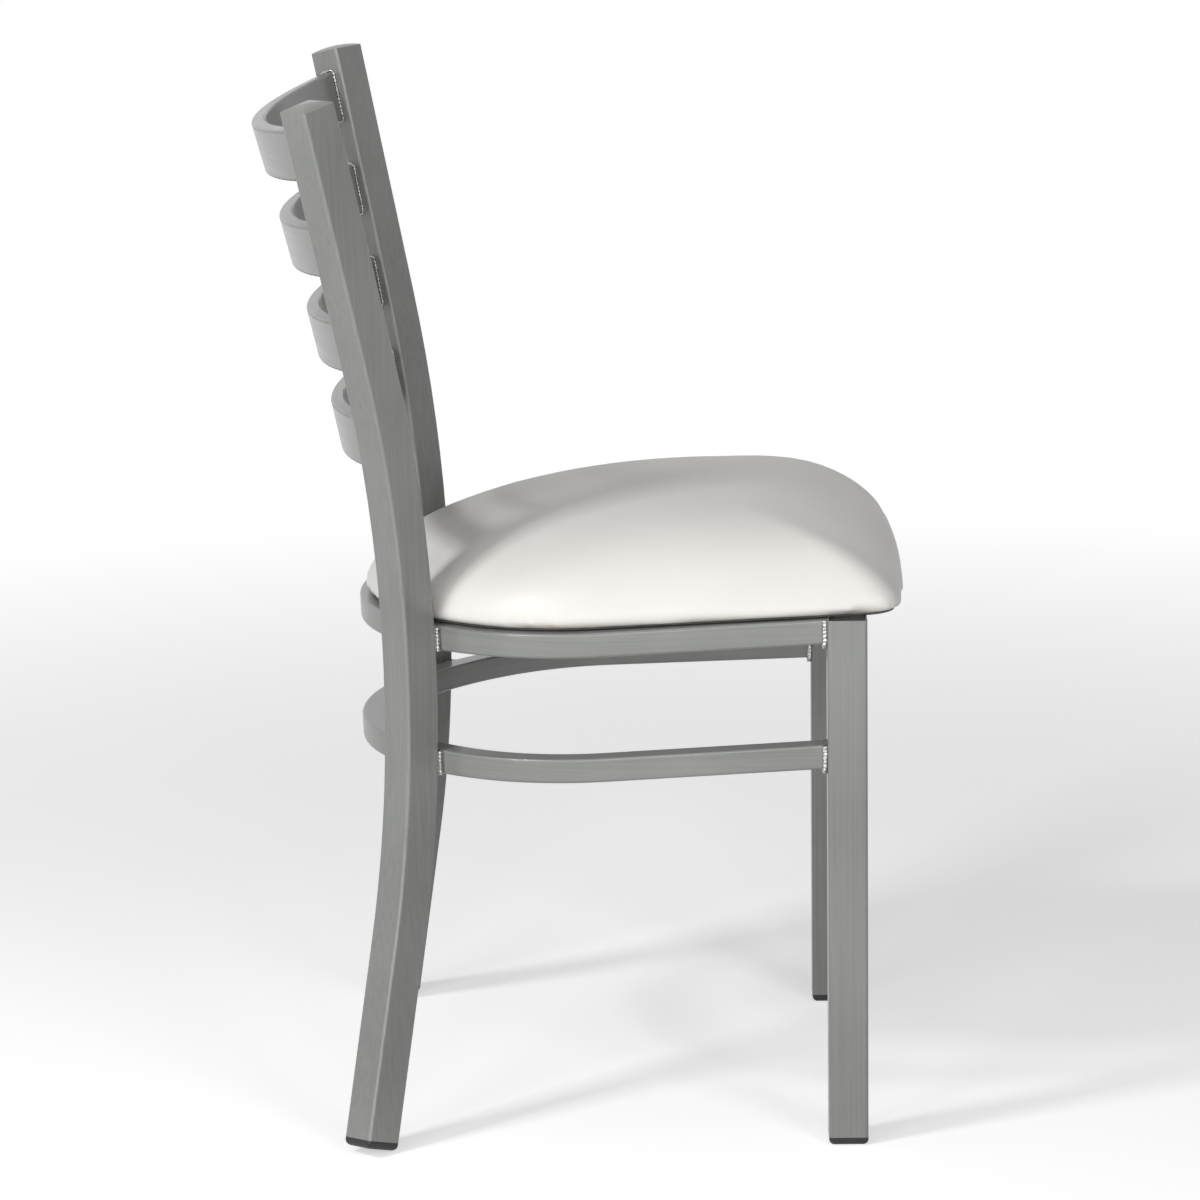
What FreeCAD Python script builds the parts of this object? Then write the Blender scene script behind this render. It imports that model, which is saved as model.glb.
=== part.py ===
import FreeCAD, Part
import math
import os
import Sketcher
from FreeCAD import Placement, Rotation, Vector

# Ladderback dining chair: a welded tube frame with a padded seat screwed on from below.
# Millimetres. +Z is up, the sitter faces -Y, +X is the sitter's left.
# The pieces are placed from the point on the floor midway between the front legs' centres.
# At the end they are all moved so that the origin lies under the middle of the whole chair.

doc = FreeCAD.newDocument("ladderback_chair")
sheet = doc.addObject("Spreadsheet::Sheet", "Sizes")

# Driving sizes: name, value, meaning
SIZES = [
    ("post_side", 31.75, "side of the square tube of posts and front legs"),
    ("post_corner", 2.6, "outside corner radius of that tube"),
    ("post_wall", 1.6, "wall of that tube"),
    ("ring_side", 20.0, "side of the square tube of the rings and the front rail"),
    ("ring_corner", 2.2, "outside corner radius of that tube"),
    ("ring_wall", 1.5, "wall of that tube"),
    ("slat_high", 42.0, "height of the flat tube of the slats"),
    ("slat_thick", 12.7, "thickness of that flat tube"),
    ("slat_corner", 2.4, "outside corner radius of that flat tube"),
    ("slat_wall", 1.2, "wall of that flat tube"),
    ("leg_half", 208.0, "front leg centre to the middle of the chair"),
    ("frame_high", 433.2, "top of legs and seat ring above the floor, at the front legs"),
    ("frame_fall", 2.23, "degrees by which both rings fall towards the back"),
    ("ring_drop", 101.9, "seat ring top down to the lower ring top"),
    ("ring_leg_inset", 3.0, "front leg centre in to the ring's centre line"),
    ("ring_bulge", 5.9, "front leg centre out to the ring's centre line at its widest"),
    ("ring_corner_bend", 159.0, "bend radius of the ring's centre line at its shoulders"),
    ("ring_shoulder", 198.6, "front legs back to the centre of the shoulder bend"),
    ("ring_back", 387.5, "front legs back to the ring's centre line at the back"),
    ("post_half", 166.5, "post centre to the middle, between the rings"),
    ("post_nest", 0.4, "how far the straight part of a post stands inside its rings' contact"),
    ("foot_bend_high", 254.0, "height of the foot bend, where its two straight runs would cross"),
    ("foot_bend_half", 96.0, "that crossing to each end of the foot bend"),
    ("foot_out", 0.26, "outward slope of the foot, per unit of height"),
    ("foot_back", 0.146, "rearward slope of the foot, per unit of height"),
    ("back_bend_high", 500.0, "height of the back bend, where its two straight runs would cross"),
    ("back_bend_half", 140.0, "that crossing to each end of the back bend"),
    ("back_out", 0.133, "outward slope of the post's top run, per unit of height"),
    ("back_rake", 0.203, "rearward slope of the post's top run, per unit of height"),
    ("post_high", 842.5, "height of the post tube's top end, at its centre"),
    ("cap_high", 5.3, "height of the pillow-shaped cap on a post, at its middle"),
    ("cap_arch", 38.0, "radius of the two crossed arches that shape it"),
    ("glide_head", 6.5, "visible height of a plastic glide"),
    ("glide_round", 4.5, "rounding of the glide's lower edge"),
    ("glide_plug", 18.0, "length of the glide inside the tube"),
    ("glide_fit", 0.6, "clearance between the glide's plug and the tube, each side"),
    ("glide_ribs", 3, "grip ribs on a glide's plug"),
    ("glide_rib_high", 1.2, "height of one grip rib"),
    ("slat_bend", 445.0, "bend radius of every slat's centre line"),
    ("slat_top", 805.6, "height of the top slat's ends, at their centre"),
    ("slat_step", 78.2, "height from one slat to the next"),
    ("slat_count", 4, "number of slats"),
    ("slat_lean", 15.2, "degrees that the top slat leans back"),
    ("slat_lean_step", 1.1, "degrees less for each slat below it"),
    ("seat_inset", 4.0, "ring's outer edge in to the cushion's lower edge"),
    ("seat_front", 53.5, "front legs' centre forward to the cushion's front edge"),
    ("seat_front_out", 7.0, "front leg centre out to the cushion's side at the front"),
    ("seat_front_corner", 30.0, "corner radius of the cushion's front corners"),
    ("seat_front_sweep", 2000.0, "radius of the cushion's gently bowed front edge"),
    ("seat_gap", 0.95, "clearance between the frame's top plane and the cushion"),
    ("hem_thick", 1.0, "cover folded under the seat board"),
    ("hem_wide", 24.0, "width of that fold"),
    ("cover_thick", 1.2, "thickness of the vinyl cover"),
    ("board_thick", 12.0, "thickness of the plywood seat board"),
    ("board_inset", 7.0, "cushion's lower edge in to the board's edge"),
    ("seat_crown", 80.0, "frame top up to the crown of the cushion"),
    ("seat_bulge", 1.0, "how far the cushion's side stands out past its lower edge"),
    ("crown_side_run", 155.0, "cushion's side in to where its top levels out"),
    ("crown_front_run", 176.0, "cushion's front back to where its top levels out"),
    ("crown_back_run", 190.0, "cushion's back forward to where its top levels out"),
    ("crown_power", 1.85, "roundness of the cushion's profile, 2 being an ellipse"),
    ("dust_thick", 0.6, "thickness of the cloth under the board"),
    ("dust_inset", 6.0, "cushion's lower edge in to that cloth's edge"),
    ("tab_long", 34.0, "length of a seat tab along the frame"),
    ("tab_wide", 24.0, "reach of a seat tab from its tube"),
    ("tab_thick", 3.0, "thickness of a seat tab"),
    ("tab_front_in", 88.0, "front leg centre in to the centre of a front tab"),
    ("tab_side_back", 214.0, "front legs back to the centre of a side tab"),
    ("screw_bore", 7.0, "hole for a seat screw in a tab"),
    ("screw_thread", 6.0, "diameter of a seat screw"),
    ("screw_long", 16.0, "length of a seat screw under its head"),
    ("screw_head", 13.0, "diameter of a seat screw's head"),
    ("screw_head_high", 4.0, "height of a seat screw's head"),
    ("socket_size", 4.0, "hexagon socket of a seat screw, across its flats"),
    ("socket_deep", 2.4, "depth of that socket"),
    ("washer_wide", 16.0, "diameter of a seat screw's washer"),
    ("washer_thick", 1.4, "thickness of that washer"),
    ("nut_barrel", 8.0, "barrel diameter of a tee nut"),
    ("nut_flange", 19.0, "flange diameter of a tee nut"),
    ("nut_flange_thick", 1.5, "thickness of that flange"),
    ("nut_long", 9.0, "length of a tee nut"),
    ("thread_fit", 0.1, "clearance of pins in holes, on the radius"),
    ("slat_bead", 1.8, "reach of the weld beads at the slats' ends"),
    ("leg_bead", 3.4, "reach of the weld beads at the front legs"),
    ("post_bead", 4.2, "reach of the weld beads between ring and post"),
]

for row, (alias, value, meaning) in enumerate(SIZES, 1):
    sheet.set("A%d" % row, alias)
    sheet.set("B%d" % row, str(value))
    sheet.set("C%d" % row, meaning)
    sheet.setAlias("B%d" % row, alias)
doc.recompute()

UP = Vector(0, 0, 1)
PARTS = []


def size(alias):
    """Value of one cell of the size sheet."""
    return float(sheet.get(alias))


def keep(node, label):
    """Name a finished sub-part: its label is its file's name."""
    node.Label = label
    PARTS.append(node)
    return node


def hidden(kind, name, **values):
    """Make a helper object of the document and set its properties."""
    made = doc.addObject(kind, name)
    for key, value in values.items():
        setattr(made, key, value)
    return made


def shape_of(name, shape, place=None):
    """A plain feature that holds a shape worked out from the sheet."""
    made = doc.addObject("Part::Feature", name)
    made.Shape = shape
    if place is not None:
        made.Placement = place.multiply(made.Placement)
    return made


# Frames of reference

FALL = Rotation(Vector(1, 0, 0), -size("frame_fall"))


def frame_place(drop=0.0):
    """The fallen plane of the frame's top, or a plane parallel to it further down."""
    return Placement(Vector(0, 0, size("frame_high") - drop), FALL)


# Rounded tube sections

def rounded_section(sketch, wide, deep, corner):
    """Add a centred rounded rectangle whose three sizes are expressions on the sheet."""
    half_wide = float(sheet.evalExpression(wide)) / 2
    half_deep = float(sheet.evalExpression(deep)) / 2
    radius = float(sheet.evalExpression(corner))
    first = sketch.GeometryCount
    corners = [(1, 1, 0), (-1, 1, 90), (-1, -1, 180), (1, -1, 270)]
    for across, along, angle in corners:
        centre = Vector(across * (half_wide - radius), along * (half_deep - radius), 0)
        circle = Part.Circle(centre, UP, radius)
        turn = math.radians(angle)
        sketch.addGeometry(Part.ArcOfCircle(circle, turn, turn + math.pi / 2), False)
    ends = [
        (Vector(half_wide - radius, half_deep, 0), Vector(radius - half_wide, half_deep, 0)),
        (Vector(-half_wide, half_deep - radius, 0), Vector(-half_wide, radius - half_deep, 0)),
        (Vector(radius - half_wide, -half_deep, 0), Vector(half_wide - radius, -half_deep, 0)),
        (Vector(half_wide, radius - half_deep, 0), Vector(half_wide, half_deep - radius, 0)),
    ]
    for start, end in ends:
        sketch.addGeometry(Part.LineSegment(start, end), False)
    for step in range(4):
        arc, line = first + step, first + 4 + step
        following = first + (step + 1) % 4
        sketch.addConstraint(Sketcher.Constraint("Tangent", arc, 2, line, 1))
        sketch.addConstraint(Sketcher.Constraint("Tangent", line, 2, following, 1))
    for step in range(1, 4):
        sketch.addConstraint(Sketcher.Constraint("Equal", first, first + step))
    for step, kind in enumerate(("Horizontal", "Vertical", "Horizontal", "Vertical")):
        sketch.addConstraint(Sketcher.Constraint(kind, first + 4 + step))
    sketch.addConstraint(Sketcher.Constraint("Symmetric", first, 3, first + 2, 3, -1, 1))
    bound = [
        (Sketcher.Constraint("Radius", first, radius), corner),
        (Sketcher.Constraint("DistanceX", first + 5, 1, first + 7, 1, 2 * half_wide), wide),
        (Sketcher.Constraint("DistanceY", first + 6, 1, first + 4, 1, 2 * half_deep), deep),
    ]
    for constraint, expression in bound:
        index = sketch.addConstraint(constraint)
        sketch.setExpression("Constraints[%d]" % index, expression)


def body_sketch(body, name, role, offset=None):
    """A sketch on one of a body's own origin planes."""
    sketch = body.newObject("Sketcher::SketchObject", name)
    plane = [each for each in body.Origin.OriginFeatures if each.Role == role][0]
    sketch.AttachmentSupport = [(plane, "")]
    sketch.MapMode = "FlatFace"
    if offset is not None:
        sketch.AttachmentOffset = offset
    return sketch


def section_wire(wide, deep, corner):
    """Closed wire of a centred rounded rectangle in the XY plane."""
    face = Part.makePlane(wide, deep, Vector(-wide / 2, -deep / 2, 0))
    box = face.extrude(UP)
    upright = [edge for edge in box.Edges if abs(edge.tangentAt(edge.FirstParameter).z) > 0.5]
    rounded = box.makeFillet(corner, upright)
    floor = min(rounded.Faces, key=lambda each: each.CenterOfMass.z)
    return floor.OuterWire


def swept(spine, wire):
    """Solid swept by a closed wire along a spine, without twist."""
    return Part.Wire(spine).makePipeShell([wire], True, False)


def bar(spine, place, wide, deep, corner):
    """Solid bar along a spine; place sets the section at the spine's start."""
    section = section_wire(wide, deep, corner)
    section.Placement = place
    return swept(spine, section)


def tube(spine, place, wide, deep, corner, wall):
    """Hollow tube along a spine, and the solid bar that it would fill."""
    outside = bar(spine, place, wide, deep, corner)
    inside = bar(spine, place, wide - 2 * wall, deep - 2 * wall, corner - wall)
    return outside.cut(inside), outside


# Front legs: straight square tube from the glide up to the frame's top

def front_leg(side, label):
    body = doc.addObject("PartDesign::Body", label)
    sketch = body_sketch(body, label + "_section", "XY_Plane")
    rounded_section(sketch, "Sizes.post_side", "Sizes.post_side", "Sizes.post_corner")
    rounded_section(sketch, "Sizes.post_side - 2 * Sizes.post_wall",
                    "Sizes.post_side - 2 * Sizes.post_wall",
                    "Sizes.post_corner - Sizes.post_wall")
    pad = body.newObject("PartDesign::Pad", label + "_length")
    pad.Profile = sketch
    pad.setExpression("Length", "Sizes.frame_high - Sizes.glide_head")
    body.Placement = Placement(Vector(side * size("leg_half"), 0, size("glide_head")), Rotation())
    return keep(body, label)


for side, name in ((-1, "right"), (1, "left")):
    front_leg(side, "front_leg_" + name)


# Rings: one centre line serves both, a horseshoe from one front leg round to the other

def horseshoe(inset, back_inset, front):
    """Corner points of one half of a horseshoe, on +X, in its own plane.
    inset and back_inset move it inwards from the ring's centre line; front is where it starts."""
    shoulder = size("ring_corner_bend") - inset
    widest = size("leg_half") + size("ring_bulge")
    slope = math.atan2(size("ring_bulge") + size("ring_leg_inset"),
                       size("ring_shoulder") - size("post_side") / 2)
    centre = Vector(widest - size("ring_corner_bend"),
                    size("ring_shoulder") - (back_inset - inset), 0)
    back = size("ring_back") - back_inset
    reach = centre.y - back
    back_bend = (shoulder ** 2 - centre.x ** 2 - reach ** 2) / (2 * (reach + shoulder))
    back_centre = Vector(0, back - back_bend, 0)
    join = math.atan2(centre.y - back_centre.y, centre.x)

    def on_shoulder(angle):
        return centre + Vector(math.cos(angle), math.sin(angle), 0) * shoulder

    start = on_shoulder(-slope)
    first = Vector(start.x - (start.y - front) * math.tan(slope), front, 0)
    return {
        "first": first,
        "start": start,
        "middle": on_shoulder((join - slope) / 2),
        "meet": on_shoulder(join),
        "back": Vector(0, back, 0),
        "back_centre": back_centre,
        "back_bend": back_bend,
        "slope": slope,
    }


def other_side(point):
    return Vector(-point.x, point.y, point.z)


def ring_spine():
    """Centre line of a ring in its own plane, from inside one front leg to the other."""
    turn = horseshoe(0, 0, 0)
    points = [turn[key] for key in ("first", "start", "middle", "meet")]
    flipped = [other_side(point) for point in points]
    return [
        Part.LineSegment(points[0], points[1]).toShape(),
        Part.Arc(points[1], points[2], points[3]).toShape(),
        Part.Arc(points[3], turn["back"], flipped[3]).toShape(),
        Part.Arc(flipped[3], flipped[2], flipped[1]).toShape(),
        Part.LineSegment(flipped[1], flipped[0]).toShape(),
    ]


def ring_shape(make, grow, *wall):
    """Ring made by bar or tube, its top face in the XY plane; grow thickens it all round."""
    side = size("ring_side") + 2 * grow
    turn = horseshoe(0, 0, 0)
    along = Vector(math.sin(turn["slope"]), math.cos(turn["slope"]), 0)
    across = Vector(math.cos(turn["slope"]), -math.sin(turn["slope"]), 0)
    place = Placement(turn["first"], Rotation(across, UP, along * -1, "ZXY"))
    made = make(ring_spine(), place, side, side, size("ring_corner") + grow, *wall)
    return lowered(made, size("ring_side") / 2)


def lowered(shapes, drop):
    """The same shape, or pair of shapes, further down."""
    for shape in shapes if isinstance(shapes, tuple) else (shapes,):
        shape.translate(Vector(0, 0, -drop))
    return shapes


# Posts: bent square tube, turned so that one face lies flat against the rings

CONTACT = horseshoe(0, 0, 0)
post_reach = (CONTACT["back_bend"] + size("ring_side") / 2 + size("post_side") / 2
              - size("post_nest"))
post_back = CONTACT["back_centre"].y + math.sqrt(post_reach ** 2 - size("post_half") ** 2)
post_turn = math.degrees(math.atan2(post_back - CONTACT["back_centre"].y, size("post_half")))


def slanted(start, out, back, rise):
    """The point reached from start along a slope, at a given rise."""
    return start + Vector(out, back, 1) * rise


def bend_between(corner, lower, upper, half):
    """Arc that rounds a corner, tangent to both runs at the same distance from it."""
    below = corner + (lower - corner).normalize() * half
    above = corner + (upper - corner).normalize() * half
    opening = (lower - corner).getAngle(upper - corner)
    radius = half * math.tan(opening / 2)
    inward = ((below + above) * 0.5 - corner).normalize()
    middle = corner + inward * (radius / math.sin(opening / 2) - radius)
    return below, above, Part.Arc(below, middle, above).toShape()


foot_corner = Vector(size("post_half"), post_back, size("foot_bend_high"))
back_corner = Vector(size("post_half"), post_back, size("back_bend_high"))
back_axis = Vector(size("back_out"), size("back_rake"), 1).normalize()
foot_axis = Vector(-size("foot_out"), -size("foot_back"), 1).normalize()
post_top = slanted(back_corner, size("back_out"), size("back_rake"),
                   size("post_high") - back_corner.z)

# The foot leans, so its glide meets the floor with one rounded corner of its lower edge
foot_tilt = math.atan(math.hypot(size("foot_out"), size("foot_back")))
foot_face = math.radians(post_turn) - math.atan2(size("foot_back"), size("foot_out"))
corner_lean = math.sin(foot_tilt) * (abs(math.cos(foot_face)) + abs(math.sin(foot_face)))
foot_dip = ((size("post_side") / 2 - size("glide_round")) * corner_lean
            + size("glide_round") * (math.hypot(corner_lean, math.cos(foot_tilt))
                                     - math.cos(foot_tilt)))
foot_end_high = size("glide_head") * math.cos(foot_tilt) + foot_dip
foot_end = slanted(foot_corner, -size("foot_out"), -size("foot_back"),
                   foot_end_high - foot_corner.z)


def post_spine():
    low, low_top, foot_arc = bend_between(foot_corner, foot_end, back_corner,
                                          size("foot_bend_half"))
    high, high_top, back_arc = bend_between(back_corner, foot_corner, post_top,
                                            size("back_bend_half"))
    return [
        Part.LineSegment(foot_end, low).toShape(),
        foot_arc,
        Part.LineSegment(low_top, high).toShape(),
        back_arc,
        Part.LineSegment(high_top, post_top).toShape(),
    ]


def post_shape(make, grow, *wall):
    """Post on +X made by bar or tube; grow thickens it all round."""
    side = size("post_side") + 2 * grow
    turned = Rotation(UP, foot_axis).multiply(Rotation(UP, post_turn))
    place = Placement(foot_end, turned)
    return make(post_spine(), place, side, side, size("post_corner") + grow, *wall)


post_hollow, post_solid = post_shape(tube, 0, size("post_wall"))
keep(shape_of("post_left", post_hollow), "post_left")
keep(shape_of("post_right", post_hollow.mirror(Vector(0, 0, 0), Vector(1, 0, 0))), "post_right")

ring_hollow, ring_solid = ring_shape(tube, 0, size("ring_wall"))
LEG_SOLIDS = [
    Part.makeBox(size("post_side"), size("post_side"), size("frame_high") + size("ring_side"),
                 Vector(side * size("leg_half") - size("post_side") / 2,
                        -size("post_side") / 2, 0))
    for side in (-1, 1)
]


def placed(shape, place):
    moved = shape.copy()
    moved.Placement = place.multiply(moved.Placement)
    return moved


def flipped_x(shape):
    return shape.mirror(Vector(0, 0, 0), Vector(1, 0, 0))


RING_DROPS = {"seat_ring": 0.0, "lower_ring": size("ring_drop")}
RING_SOLIDS = {}
for name, drop in RING_DROPS.items():
    place = frame_place(drop)
    RING_SOLIDS[name] = placed(ring_solid, place)
    whole = hidden("Part::Feature", name + "_bent", Shape=placed(ring_hollow, place))
    legs = hidden("Part::Feature", name + "_legs", Shape=Part.makeCompound(LEG_SOLIDS))
    trimmed = hidden("Part::Cut", name, Base=whole, Tool=legs)
    keep(trimmed, name)


# Front rail: straight tube between the front legs, level with their tops

rail = doc.addObject("PartDesign::Body", "front_rail")
rail_sketch = body_sketch(rail, "front_rail_section", "YZ_Plane")
rounded_section(rail_sketch, "Sizes.ring_side", "Sizes.ring_side", "Sizes.ring_corner")
rounded_section(rail_sketch, "Sizes.ring_side - 2 * Sizes.ring_wall",
                "Sizes.ring_side - 2 * Sizes.ring_wall",
                "Sizes.ring_corner - Sizes.ring_wall")
rail_pad = rail.newObject("PartDesign::Pad", "front_rail_length")
rail_pad.Profile = rail_sketch
rail_pad.Midplane = True
rail_pad.setExpression("Length", "2 * Sizes.leg_half - Sizes.post_side")
rail.Placement = Placement(Vector(0, 0, size("frame_high") - size("ring_side") / 2), Rotation())
keep(rail, "front_rail")


# Slats: flat tube bent to one radius, leaning back, butted on the posts' inner rear faces

POST_WIRE = Part.Wire(post_spine())


def post_point(height):
    """Point of the post's centre line at a height."""
    reach = 4 * size("leg_half")
    level = Part.makePlane(reach, reach, Vector(-reach / 2, -reach / 2, height))
    return POST_WIRE.distToShape(level)[1][0][0]


def slat_shape(make, index, grow, *wall):
    """Slat made by bar or tube, its ends run on into the posts; grow thickens it all round."""
    height = size("slat_top") - index * size("slat_step")
    lean = math.radians(size("slat_lean") - index * size("slat_lean_step"))
    inner_rear = Vector(-math.sin(math.radians(post_turn)), math.cos(math.radians(post_turn)), 0)
    end = post_point(height) + inner_rear * (size("post_side") / 2)
    bend = size("slat_bend")
    into_post = size("post_side") / 3
    rise = math.sqrt(bend ** 2 - end.x ** 2)
    rearward = Vector(0, math.cos(lean), -math.sin(lean))
    upward = Vector(0, math.sin(lean), math.cos(lean))
    centre = Vector(0, end.y, end.z) - rearward * rise
    half_angle = math.asin(end.x / bend) + into_post / bend

    def on_slat(angle):
        return centre + Vector(math.sin(angle) * bend, 0, 0) + rearward * (math.cos(angle) * bend)

    first, last = on_slat(half_angle), on_slat(-half_angle)
    spine = [Part.Arc(first, on_slat(0), last).toShape()]
    outward = (first - centre).normalize()
    place = Placement(first, Rotation(outward, upward, outward.cross(upward), "ZXY"))
    return make(spine, place, size("slat_thick") + 2 * grow, size("slat_high") + 2 * grow,
                size("slat_corner") + grow, *wall)


both_posts = hidden("Part::Feature", "posts_envelope",
                    Shape=Part.makeCompound([post_solid, flipped_x(post_solid)]))
SLAT_SOLIDS = []
for index in range(int(size("slat_count"))):
    name = "slat_%d" % (index + 1)
    slat_hollow, slat_solid = slat_shape(tube, index, 0, size("slat_wall"))
    SLAT_SOLIDS.append(slat_solid)
    bent = hidden("Part::Feature", name + "_bent", Shape=slat_hollow)
    trimmed = hidden("Part::Cut", name, Base=bent, Tool=both_posts)
    keep(trimmed, name)


# Caps and glides: one body each, set on the tube ends

def round_edges(body, feature_name, alias, pick):
    """Round the edges of a body's tip that pick chooses, with a radius bound to one cell."""
    base = body.Tip
    doc.recompute()
    names = ["Edge%d" % number for number, edge in enumerate(base.Shape.Edges, 1) if pick(edge)]
    feature = body.newObject("PartDesign::Fillet", feature_name)
    feature.Base = (base, names)
    feature.setExpression("Radius", "Sizes." + alias)
    return feature


def at_height(height):
    return lambda edge: all(abs(vertex.Z - height) < 0.01 for vertex in edge.Vertexes)


def post_cap(label, place):
    """Pillow-shaped cap: a square block of the tube's section under two crossed arches."""
    body = doc.addObject("PartDesign::Body", label + "_block")
    sketch = body_sketch(body, label + "_section", "XY_Plane")
    rounded_section(sketch, "Sizes.post_side", "Sizes.post_side", "Sizes.post_corner")
    pad = body.newObject("PartDesign::Pad", label + "_height")
    pad.Profile = sketch
    pad.setExpression("Length", "Sizes.cap_high")
    arches = []
    for name, along in (("_arch_x", Vector(1, 0, 0)), ("_arch_y", Vector(0, 1, 0))):
        arch = hidden("Part::Cylinder", label + name)
        arch.setExpression("Radius", "Sizes.cap_arch")
        arch.setExpression("Height", "Sizes.post_side")
        low = along * (-size("post_side") / 2) + UP * (size("cap_high") - size("cap_arch"))
        arch.Placement = Placement(low, Rotation(UP, along))
        arches.append(arch)
    cap = hidden("Part::MultiCommon", label, Shapes=[body] + arches)
    cap.Placement = place
    return keep(cap, label)


def glide(label, place):
    """Plastic glide: a head as wide as the tube and a ribbed plug that goes up into it."""
    body = doc.addObject("PartDesign::Body", label)
    head = body_sketch(body, label + "_head", "XY_Plane")
    rounded_section(head, "Sizes.post_side", "Sizes.post_side", "Sizes.post_corner")
    head_pad = body.newObject("PartDesign::Pad", label + "_head_height")
    head_pad.Profile = head
    head_pad.setExpression("Length", "Sizes.glide_head")
    round_edges(body, label + "_round", "glide_round", at_height(0))
    plug = body_sketch(body, label + "_plug", "XY_Plane")
    slim = "Sizes.post_side - 2 * Sizes.post_wall - 2 * Sizes.glide_fit - 2 * Sizes.glide_rib_high"
    rounded_section(plug, slim, slim, "Sizes.post_corner - Sizes.post_wall")
    plug_pad = body.newObject("PartDesign::Pad", label + "_plug_length")
    plug_pad.Profile = plug
    plug_pad.setExpression("Length", "Sizes.glide_head + Sizes.glide_plug")
    lift = Placement(Vector(0, 0, size("glide_head") + size("glide_plug") / (size("glide_ribs") + 1)),
                     Rotation())
    rib = body_sketch(body, label + "_rib", "XY_Plane", lift)
    rib.setExpression("AttachmentOffset.Base.z",
                      "Sizes.glide_head + Sizes.glide_plug / (Sizes.glide_ribs + 1)")
    full = "Sizes.post_side - 2 * Sizes.post_wall - 2 * Sizes.glide_fit"
    rounded_section(rib, full, full, "Sizes.post_corner - Sizes.post_wall")
    rib_pad = body.newObject("PartDesign::Pad", label + "_rib_height")
    rib_pad.Profile = rib
    rib_pad.setExpression("Length", "Sizes.glide_rib_high")
    doc.recompute()
    ribs = body.newObject("PartDesign::LinearPattern", label + "_ribs")
    ribs.Originals = [rib_pad]
    axis = [each for each in body.Origin.OriginFeatures if each.Role == "Z_Axis"][0]
    ribs.Direction = (axis, [""])
    ribs.setExpression("Occurrences", "Sizes.glide_ribs")
    ribs.setExpression("Length", "Sizes.glide_plug * (Sizes.glide_ribs - 1) / (Sizes.glide_ribs + 1)")
    body.Tip = ribs
    body.Placement = place
    return keep(body, label)


def mirrored_place(place_left):
    """Placement of the same symmetric piece on the -X side."""
    axis = place_left.Rotation.multVec(UP)
    base = other_side(place_left.Base)
    turned = Rotation(UP, other_side(axis)).multiply(Rotation(UP, -post_turn))
    return Placement(base, turned)


cap_place = Placement(post_top, Rotation(UP, back_axis).multiply(Rotation(UP, post_turn)))
post_cap("post_cap_left", cap_place)
post_cap("post_cap_right", mirrored_place(cap_place))

rear_glide = Placement(foot_end - foot_axis * size("glide_head"),
                       Rotation(UP, foot_axis).multiply(Rotation(UP, post_turn)))
glide("glide_rear_left", rear_glide)
glide("glide_rear_right", mirrored_place(rear_glide))
for side, name in ((-1, "right"), (1, "left")):
    glide("glide_front_" + name, Placement(Vector(side * size("leg_half"), 0, 0), Rotation()))


# Seat: everything lies in the frame's fallen plane, z 0 being the frame's top

def seat_outline(inset, front_inset, back_inset, height):
    """Closed outline of the cushion in its plane; the insets move its sides inwards."""
    edge = size("ring_side") / 2 - size("seat_inset")
    corner = max(size("seat_front_corner") - inset, size("seat_front_corner") / 8)
    front = front_inset - size("seat_front")
    half_front = size("leg_half") + size("seat_front_out") - inset
    sweep = size("seat_front_sweep")
    turn = horseshoe(inset - edge, back_inset - edge, front + corner)
    start = turn["start"]
    side_foot = Vector(half_front, front + corner, 0)
    bow = sweep - math.sqrt(sweep ** 2 - (half_front - corner) ** 2)
    corner_end = Vector(half_front - corner, front + bow, 0)
    corner_mid = Vector(half_front - corner * (1 - math.sqrt(0.5)),
                        front + bow + corner * (1 - math.sqrt(0.5)), 0)
    side_foot.y = front + bow + corner
    points = [side_foot, start, turn["middle"], turn["meet"]]
    flipped = [other_side(point) for point in points]
    edges = [
        Part.LineSegment(points[0], points[1]).toShape(),
        Part.Arc(points[1], points[2], points[3]).toShape(),
        Part.Arc(points[3], turn["back"], flipped[3]).toShape(),
        Part.Arc(flipped[3], flipped[2], flipped[1]).toShape(),
        Part.LineSegment(flipped[1], flipped[0]).toShape(),
        Part.Arc(flipped[0], other_side(corner_mid), other_side(corner_end)).toShape(),
        Part.Arc(other_side(corner_end), Vector(0, front, 0), corner_end).toShape(),
        Part.Arc(corner_end, corner_mid, points[0]).toShape(),
    ]
    wire = Part.Wire(edges)
    wire.translate(Vector(0, 0, height))
    return wire


CROWN_LEVELS = (0.0, 0.08, 0.2, 0.34, 0.5, 0.65, 0.78, 0.88, 0.95, 0.985)


def crowned(name, grow, floor):
    """Domed cushion solid: outlines that draw in as they rise, lofted."""
    power = size("crown_power")
    crown = size("seat_crown") + grow
    wires = []
    for number, share in enumerate(CROWN_LEVELS):
        drawn = 1 - (1 - share ** power) ** (1 / power)
        bulge = size("seat_bulge") * math.sin(math.pi * min(share / CROWN_LEVELS[4], 1))
        height = floor + (crown - floor) * share
        outline = seat_outline(size("crown_side_run") * drawn - bulge - grow,
                               size("crown_front_run") * drawn - bulge - grow,
                               size("crown_back_run") * drawn - bulge - grow, height)
        wires.append(hidden("Part::Feature", "%s_level_%d" % (name, number), Shape=outline))
    loft = hidden("Part::Loft", name, Sections=wires, Solid=True, Ruled=True)
    return loft


def plate(name, inset, bottom, thick):
    """Flat piece with the cushion's outline drawn in, from a height up."""
    wire = hidden("Part::Feature", name + "_outline",
                  Shape=seat_outline(inset, inset, inset, bottom))
    solid = hidden("Part::Extrusion", name, Base=wire, Dir=UP, DirMode="Custom", Solid=True)
    solid.setExpression("LengthFwd", thick)
    return solid


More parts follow.
